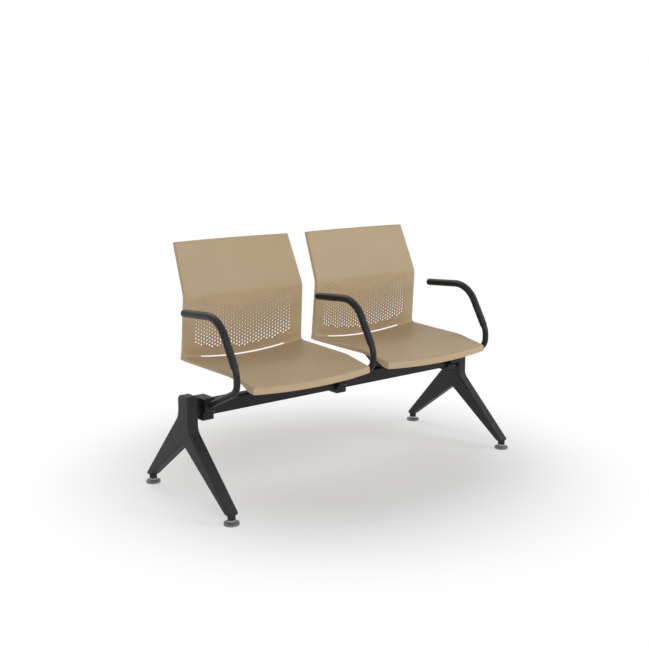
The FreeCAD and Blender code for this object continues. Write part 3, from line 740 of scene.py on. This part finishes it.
first_wall = len(shell_faces)
for loop, (x, along, radius) in zip(hole_loops, HOLES):
    centre = on_shell(x, along)
    normal = shell_axes(x, along)[2]
    shrink = radius / (radius + HOLE_CHAMFER)
    narrow = [centre + (front[index] - centre) * shrink for index in loop]
    upper = add_ring([point - normal * HOLE_CHAMFER for point in narrow])
    lower = add_ring([point - normal * (SHELL_WALL - HOLE_CHAMFER) for point in narrow])
    shell_faces += bridge(loop, upper) + bridge(upper, lower)
    shell_faces += bridge(lower, [index + to_back for index in loop])
hole_walls = range(first_wall, len(shell_faces))
shell_faces += bridge(slot_loop, [index + to_back for index in slot_loop])
print("hole walls:", len(hole_walls), "faces")

# %% [markdown]
# ## The turned edge
#
# A moulding this thin would be floppy with a plain rim, so its edge turns back all round.
# The edge is even along the sides and gets deeper just before the front, where it hangs
# upright. At the fold it reaches further back, to keep its rear corner nearly square.

# %% Measure the turned edge

RIM_DEPTH = 0.012
LIP_DEPTH = 0.023
LIP_START = 0.115
LIP_END = 0.045
LIP_SLANT = 0.08
UPRIGHT_START = 0.03
FOLD_FILL = 0.85


def clamp_share(value):
    return min(1.0, max(0.0, value))


def lip_depth(along):
    """Depth of the turned edge: even along the sides, deeper towards the front."""
    share = clamp_share((along - SHELL_LENGTH + LIP_START) / (LIP_START - LIP_END))
    return RIM_DEPTH + (LIP_DEPTH - RIM_DEPTH) * share


def fold_mitre(along):
    """How much further back the edge reaches, so that its rear corner at the fold is square."""
    begin, end = FOLD_END - FOLD_ARC, FOLD_END
    if not begin < along < end:
        return 0.0
    turn = min(along - begin, end - along) / FOLD_ARC * FOLD_TURN
    return (FOLD_RADIUS + RIM_DEPTH) * (1 / math.cos(turn) - 1) * FOLD_FILL


def edge_stations():
    """Centre, outward direction, normal, drop and depth of the edge round the outline."""
    upright = Vector((0, -LIP_SLANT, -1)).normalized()
    stations = []
    for (x, along), (u, v) in OUTLINE:
        across, down, normal = shell_axes(x, along)
        centre = on_shell(x, along) - normal * EDGE_RADIUS
        ahead = clamp_share((along - SHELL_LENGTH + UPRIGHT_START) / UPRIGHT_START)
        drop = (-normal).lerp(upright, ahead).normalized()
        depth = lip_depth(along) - EDGE_RADIUS + fold_mitre(along)
        stations.append((centre, across * u + down * v, normal, drop, depth))
    return stations


EDGE_STATIONS = edge_stations()
print("edge:", round(RIM_DEPTH, 3), "m deep at the sides,", round(LIP_DEPTH, 3), "m in front")

# %% [markdown]
# ## The edge as a stack of rings
#
# Each ring takes every place of the outline, moves it round the rounding and then down the
# drop. The first ring is the border of the sitting side and the last that of the back, so
# the edge closes the shell between its two skins.

# %% Turn the edge

RIM_CHAMFER = 0.0008
ROUND_STEPS = 5


def edge_rings():
    """Rings of points round the shell, from its sitting side over the rim to the back."""
    turns = [math.radians(90 * step / ROUND_STEPS) for step in range(ROUND_STEPS + 1)]
    inner_radius = EDGE_RADIUS - SHELL_WALL
    square = math.pi / 2

    def ring(radius, turn, share=0.0, short=0.0):
        return [centre + (out * math.sin(turn) + normal * math.cos(turn)) * radius
                + drop * ((depth - short) * share)
                for centre, out, normal, drop, depth in EDGE_STATIONS]

    return [*[ring(EDGE_RADIUS, turn) for turn in turns],
            ring(EDGE_RADIUS, square, 0.5, RIM_CHAMFER),
            ring(EDGE_RADIUS, square, 1, RIM_CHAMFER),
            ring(EDGE_RADIUS - RIM_CHAMFER, square, 1),
            ring(inner_radius + RIM_CHAMFER, square, 1),
            ring(inner_radius, square, 1, RIM_CHAMFER),
            ring(inner_radius, square, 0.5, RIM_CHAMFER),
            *[ring(inner_radius, turn) for turn in reversed(turns)]]


rings = edge_rings()
path = [border_loop, *[add_ring(ring) for ring in rings[1:-1]],
        [index + to_back for index in border_loop]]
for first, second in zip(path, path[1:]):
    shell_faces += bridge(first, second)
print("edge rings:", len(path), "of", len(border_loop), "points each")

# %% [markdown]
# ## Both shells
#
# The two places of the bench are the same moulding, one pitch apart, so one set of points
# serves both. Each shell takes the place of the plain one in the frame.

# %% Add both shells

SEAT_PITCH = 0.560


def add_shell(name, x, replaced):
    piece = make_piece(name, [point + Vector((x, 0, 0)) for point in shell_points],
                       shell_faces, TAN, "frame")
    piece.data.materials.append(HOLE_PAINTED_SHADE)
    # The hole walls wear the painted shade, a dark brown in place of their shadow.
    for index in hole_walls:
        piece.data.polygons[index].material_index = 1
    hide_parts(replaced)
    return piece


for side, x in (("left", -SEAT_PITCH / 2), ("right", SEAT_PITCH / 2)):
    piece = add_shell(f"perforated_shell_{side}", x, f"seat_shell_{side}")
    print(piece.name, "has", len(piece.data.polygons), "faces")

# %% [markdown]
# ## The arms
#
# Each arm is one steel tube. It starts behind the armrest, bends over the crest and turns
# under the knee and the toe towards its socket at the beam. A thicker foam grip covers it
# as far as the knee. A bevelled curve could make both, but its ends would be flat discs.
# So both are rings of points that follow the same side view, each square to the route, and
# an end can then narrow as it should. The side view is again a list of corners with radii.

# %% Define the rings of an arm

ARM_ROUTE = ((0.107, 0.610, 0), (-0.104, 0.626, 0.108), (-0.202, 0.462, 0.070),
             (-0.202, 0.404, 0.042), (-0.026, 0.320, 0))
ARM_LINE_STEPS = 6
ARM_ARC_STEPS = 14
RING_SIDES = 40


def ring_along(point, ahead, radius, shift=0.0):
    """A ring of points square to the route, moved along it by a shift."""
    ahead = ahead.normalized()
    side = Vector((-ahead.y, ahead.x))
    ring = []
    for index in range(RING_SIDES):
        angle = math.tau * index / RING_SIDES
        out = side * (math.sin(angle) * radius) + ahead * shift + point
        ring.append(Vector((math.cos(angle) * radius, out.x, out.y)))
    return ring


def route_rings(line, radius):
    rings = []
    for index, point in enumerate(line):
        before = line[max(index - 1, 0)]
        after = line[min(index + 1, len(line) - 1)]
        rings.append(ring_along(point, after - before, radius))
    return rings


def closed_rod(name, rings, material, x, replaced):
    points = [point + Vector((x, 0, 0)) for ring in rings for point in ring]
    loops = [range(start, start + RING_SIDES) for start in range(0, len(points), RING_SIDES)]
    faces = [face for first, second in zip(loops, loops[1:]) for face in bridge(first, second)]
    faces += [tuple(loops[0]), tuple(reversed(loops[-1]))]
    piece = make_piece(name, points, faces, material, "frame")
    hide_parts(replaced)
    return piece


ARM_LINE = rounded_line(ARM_ROUTE, ARM_LINE_STEPS, ARM_ARC_STEPS)
print("arm:", round(running_lengths(ARM_LINE)[-1], 3), "m of tube")

# %% [markdown]
# ## Tubes and grips
#
# The bench has an arm at each end and one between the places, all alike and one pitch
# apart. The tube is one rod of rings. The grip is a second, thicker rod over the first part
# of the same line, with two rings of nose behind it and four rings of shoulder in front.

# %% Build the arms

TUBE_RADIUS = 0.011
GRIP_RADIUS = 0.013
NOSE_LENGTH = 0.010
NOSE_RADIUS = 0.005
NOSE_ROUND = 0.0012
SHOULDER = 0.0014
SHOULDER_TURNS = (0, math.pi / 6, math.pi / 3, math.pi / 2)
ARM_PLACES = (("left", -SEAT_PITCH), ("middle", 0.0), ("right", SEAT_PITCH))

GRIP_LINE = ARM_LINE[:2 * ARM_LINE_STEPS + ARM_ARC_STEPS + 1]
REAR, REAR_AHEAD = ARM_LINE[0], ARM_LINE[1] - ARM_LINE[0]
FRONT, FRONT_AHEAD = GRIP_LINE[-1], GRIP_LINE[-1] - GRIP_LINE[-2]

nose_rings = [ring_along(REAR, REAR_AHEAD, NOSE_RADIUS - NOSE_ROUND, -NOSE_LENGTH),
              ring_along(REAR, REAR_AHEAD, NOSE_RADIUS, NOSE_ROUND - NOSE_LENGTH)]
shoulder_rings = [
    ring_along(FRONT, FRONT_AHEAD, GRIP_RADIUS - SHOULDER * (1 - math.cos(angle)),
               SHOULDER * (math.sin(angle) - 1))
    for angle in SHOULDER_TURNS]
grip_rings = nose_rings + route_rings(GRIP_LINE, GRIP_RADIUS)[:-1] + shoulder_rings
tube_rings = route_rings(ARM_LINE, TUBE_RADIUS)

for side, x in ARM_PLACES:
    grip = closed_rod(f"smooth_grip_{side}", grip_rings, FOAM, x,
                      f"arm_sleeve_{side}")
    tube = closed_rod(f"smooth_tube_{side}", tube_rings, TUBE_COAT, x,
                      f"arm_tube_{side}")
print("each grip has", len(grip.data.polygons), "faces, each tube", len(tube.data.polygons))

# %% [markdown]
# ## Floor
#
# The floor is a wide pale disc, a hair below the glides. Near the bench it is a matt
# surface that takes a soft shadow, and further out it turns into plain white, so that no
# horizon shows. White paint under more light would do the same, but would wash the bench out.

# %% Add the floor

FLOOR_RADIUS = 9.0
FLOOR_SIDES = 96
FLOOR_GAP = 0.0004
FLOOR_GREY = 0.86
FADE_START = 0.35
FADE_END = 1.15
LEAST_WHITE = 0.34


def floor_finish():
    material = bpy.data.materials.new("floor_white")
    material.use_nodes = True
    tree = material.node_tree
    tree.nodes.clear()
    output = tree.nodes.new("ShaderNodeOutputMaterial")
    mix = tree.nodes.new("ShaderNodeMixShader")
    matt = tree.nodes.new("ShaderNodeBsdfDiffuse")
    matt.inputs["Color"].default_value = (FLOOR_GREY, FLOOR_GREY, FLOOR_GREY, 1)
    plain = tree.nodes.new("ShaderNodeEmission")
    plain.inputs["Strength"].default_value = 1.0
    place = tree.nodes.new("ShaderNodeTexCoord")
    distance = tree.nodes.new("ShaderNodeVectorMath")
    distance.operation = "LENGTH"
    fade = tree.nodes.new("ShaderNodeMapRange")
    fade.interpolation_type = "SMOOTHSTEP"
    fade.inputs["From Min"].default_value = FADE_START
    fade.inputs["From Max"].default_value = FADE_END
    fade.inputs["To Min"].default_value = LEAST_WHITE
    fade.inputs["To Max"].default_value = 1.0
    tree.links.new(place.outputs["Object"], distance.inputs[0])
    tree.links.new(distance.outputs["Value"], fade.inputs["Value"])
    tree.links.new(fade.outputs["Result"], mix.inputs["Fac"])
    tree.links.new(matt.outputs["BSDF"], mix.inputs[1])
    tree.links.new(plain.outputs["Emission"], mix.inputs[2])
    tree.links.new(mix.outputs["Shader"], output.inputs["Surface"])
    return material


def add_floor():
    mesh = bpy.data.meshes.new("floor")
    work = bmesh.new()
    bmesh.ops.create_circle(work, cap_ends=True, segments=FLOOR_SIDES, radius=FLOOR_RADIUS)
    work.to_mesh(mesh)
    work.free()
    mesh.materials.append(floor_finish())
    floor = bpy.data.objects.new("floor", mesh)
    floor.location.z = -FLOOR_GAP
    bpy.context.scene.collection.objects.link(floor)
    return floor


floor = add_floor()
print(floor.name, 2 * FLOOR_RADIUS, "m across, plain white beyond", FADE_END, "m")

# %% [markdown]
# ## World
#
# The world does two jobs. Where the camera or a reflection sees it, it is white, as a
# studio wall would be. As a light it is a calm, weak grey, so that the shadows stay soft
# and the colours keep their tone.

# %% Light the world

WORLD_LIGHT = 0.24


def light_world():
    world = bpy.data.worlds.new("studio")
    world.use_nodes = True
    tree = world.node_tree
    tree.nodes.clear()
    output = tree.nodes.new("ShaderNodeOutputWorld")
    mix = tree.nodes.new("ShaderNodeMixShader")
    soft = tree.nodes.new("ShaderNodeBackground")
    soft.inputs["Strength"].default_value = WORLD_LIGHT
    seen = tree.nodes.new("ShaderNodeBackground")
    seen.inputs["Color"].default_value = (1, 1, 1, 1)
    soft.inputs["Color"].default_value = (1, 1, 1, 1)
    rays = tree.nodes.new("ShaderNodeLightPath")
    either = tree.nodes.new("ShaderNodeMath")
    either.operation = "MAXIMUM"
    any_seen = tree.nodes.new("ShaderNodeMath")
    any_seen.operation = "MAXIMUM"
    tree.links.new(rays.outputs["Is Camera Ray"], either.inputs[0])
    tree.links.new(rays.outputs["Is Glossy Ray"], either.inputs[1])
    tree.links.new(either.outputs["Value"], any_seen.inputs[0])
    tree.links.new(rays.outputs["Is Transmission Ray"], any_seen.inputs[1])
    tree.links.new(any_seen.outputs["Value"], mix.inputs["Fac"])
    tree.links.new(soft.outputs["Background"], mix.inputs[1])
    tree.links.new(seen.outputs["Background"], mix.inputs[2])
    tree.links.new(mix.outputs["Shader"], output.inputs["Surface"])
    bpy.context.scene.world = world


light_world()
print("world light:", WORLD_LIGHT)

# %% [markdown]
# ## Lamps
#
# Three wide lamps give the soft studio light. Two stand in front of the bench, one on the
# left and one on the right, and light the backs more than the seats. One hangs behind and
# above, and puts the bench's shadow on the floor in front of it.

# %% Add the lamps

SEAT_AIM = (0.0, 0.0, 0.5)
BEAM_AIM = (0.0, 0.0, 0.4)
LAMPS = (("front_left", (-1.6, -2.8, 2.4), BEAM_AIM, 1.8, 28),
         ("front_right", (2.6, -2.4, 2.0), SEAT_AIM, 2.0, 38),
         ("overhead", (0.0, 2.2, 3.0), BEAM_AIM, 2.4, 30))


def add_lamp(name, place, aim, width, power):
    data = bpy.data.lights.new(name, "AREA")
    data.shape = "DISK"
    data.size = width
    data.energy = power
    lamp = bpy.data.objects.new(name, data)
    lamp.location = place
    lamp.rotation_euler = (Vector(aim) - Vector(place)).to_track_quat("-Z", "Y").to_euler()
    bpy.context.scene.collection.objects.link(lamp)
    return lamp


for settings in LAMPS:
    lamp = add_lamp(*settings)
    print(lamp.name, "lamp:", lamp.data.energy, "W")

# %% [markdown]
# ## Finishes for the frame's own pieces
#
# Legs, beam, clamps, carriers, bolts and glides keep the frame's shapes and only need a
# finish. The name of a piece tells what it is made of, so a short list of rules is easier
# to check than a table of all the pieces.

# %% Give the frame's own pieces their finishes


def finish_of(name):
    if name.startswith("leg_") and "bolts" not in name:
        return LEG_COAT
    if name.startswith("glide_pad"):
        return GREY
    if name.startswith("glide_stem"):
        return ZINC
    if "bolts" in name or "screws" in name:
        return BLACK_STEEL
    if name.startswith("arm_sleeve"):
        return FOAM
    if name.startswith("arm_tube"):
        return TUBE_COAT
    if name.startswith("seat_shell"):
        return TAN
    return BEAM_COAT


for name, node in nodes.items():
    for material_slot in node.material_slots:
        material_slot.material = finish_of(name)
print("finished", len(nodes), "pieces of the frame")

# %% [markdown]
# ## View transform
#
# The scene renders with Blender's Standard view transform.

# %% Set the view transform

bpy.context.scene.view_settings.view_transform = "Standard"
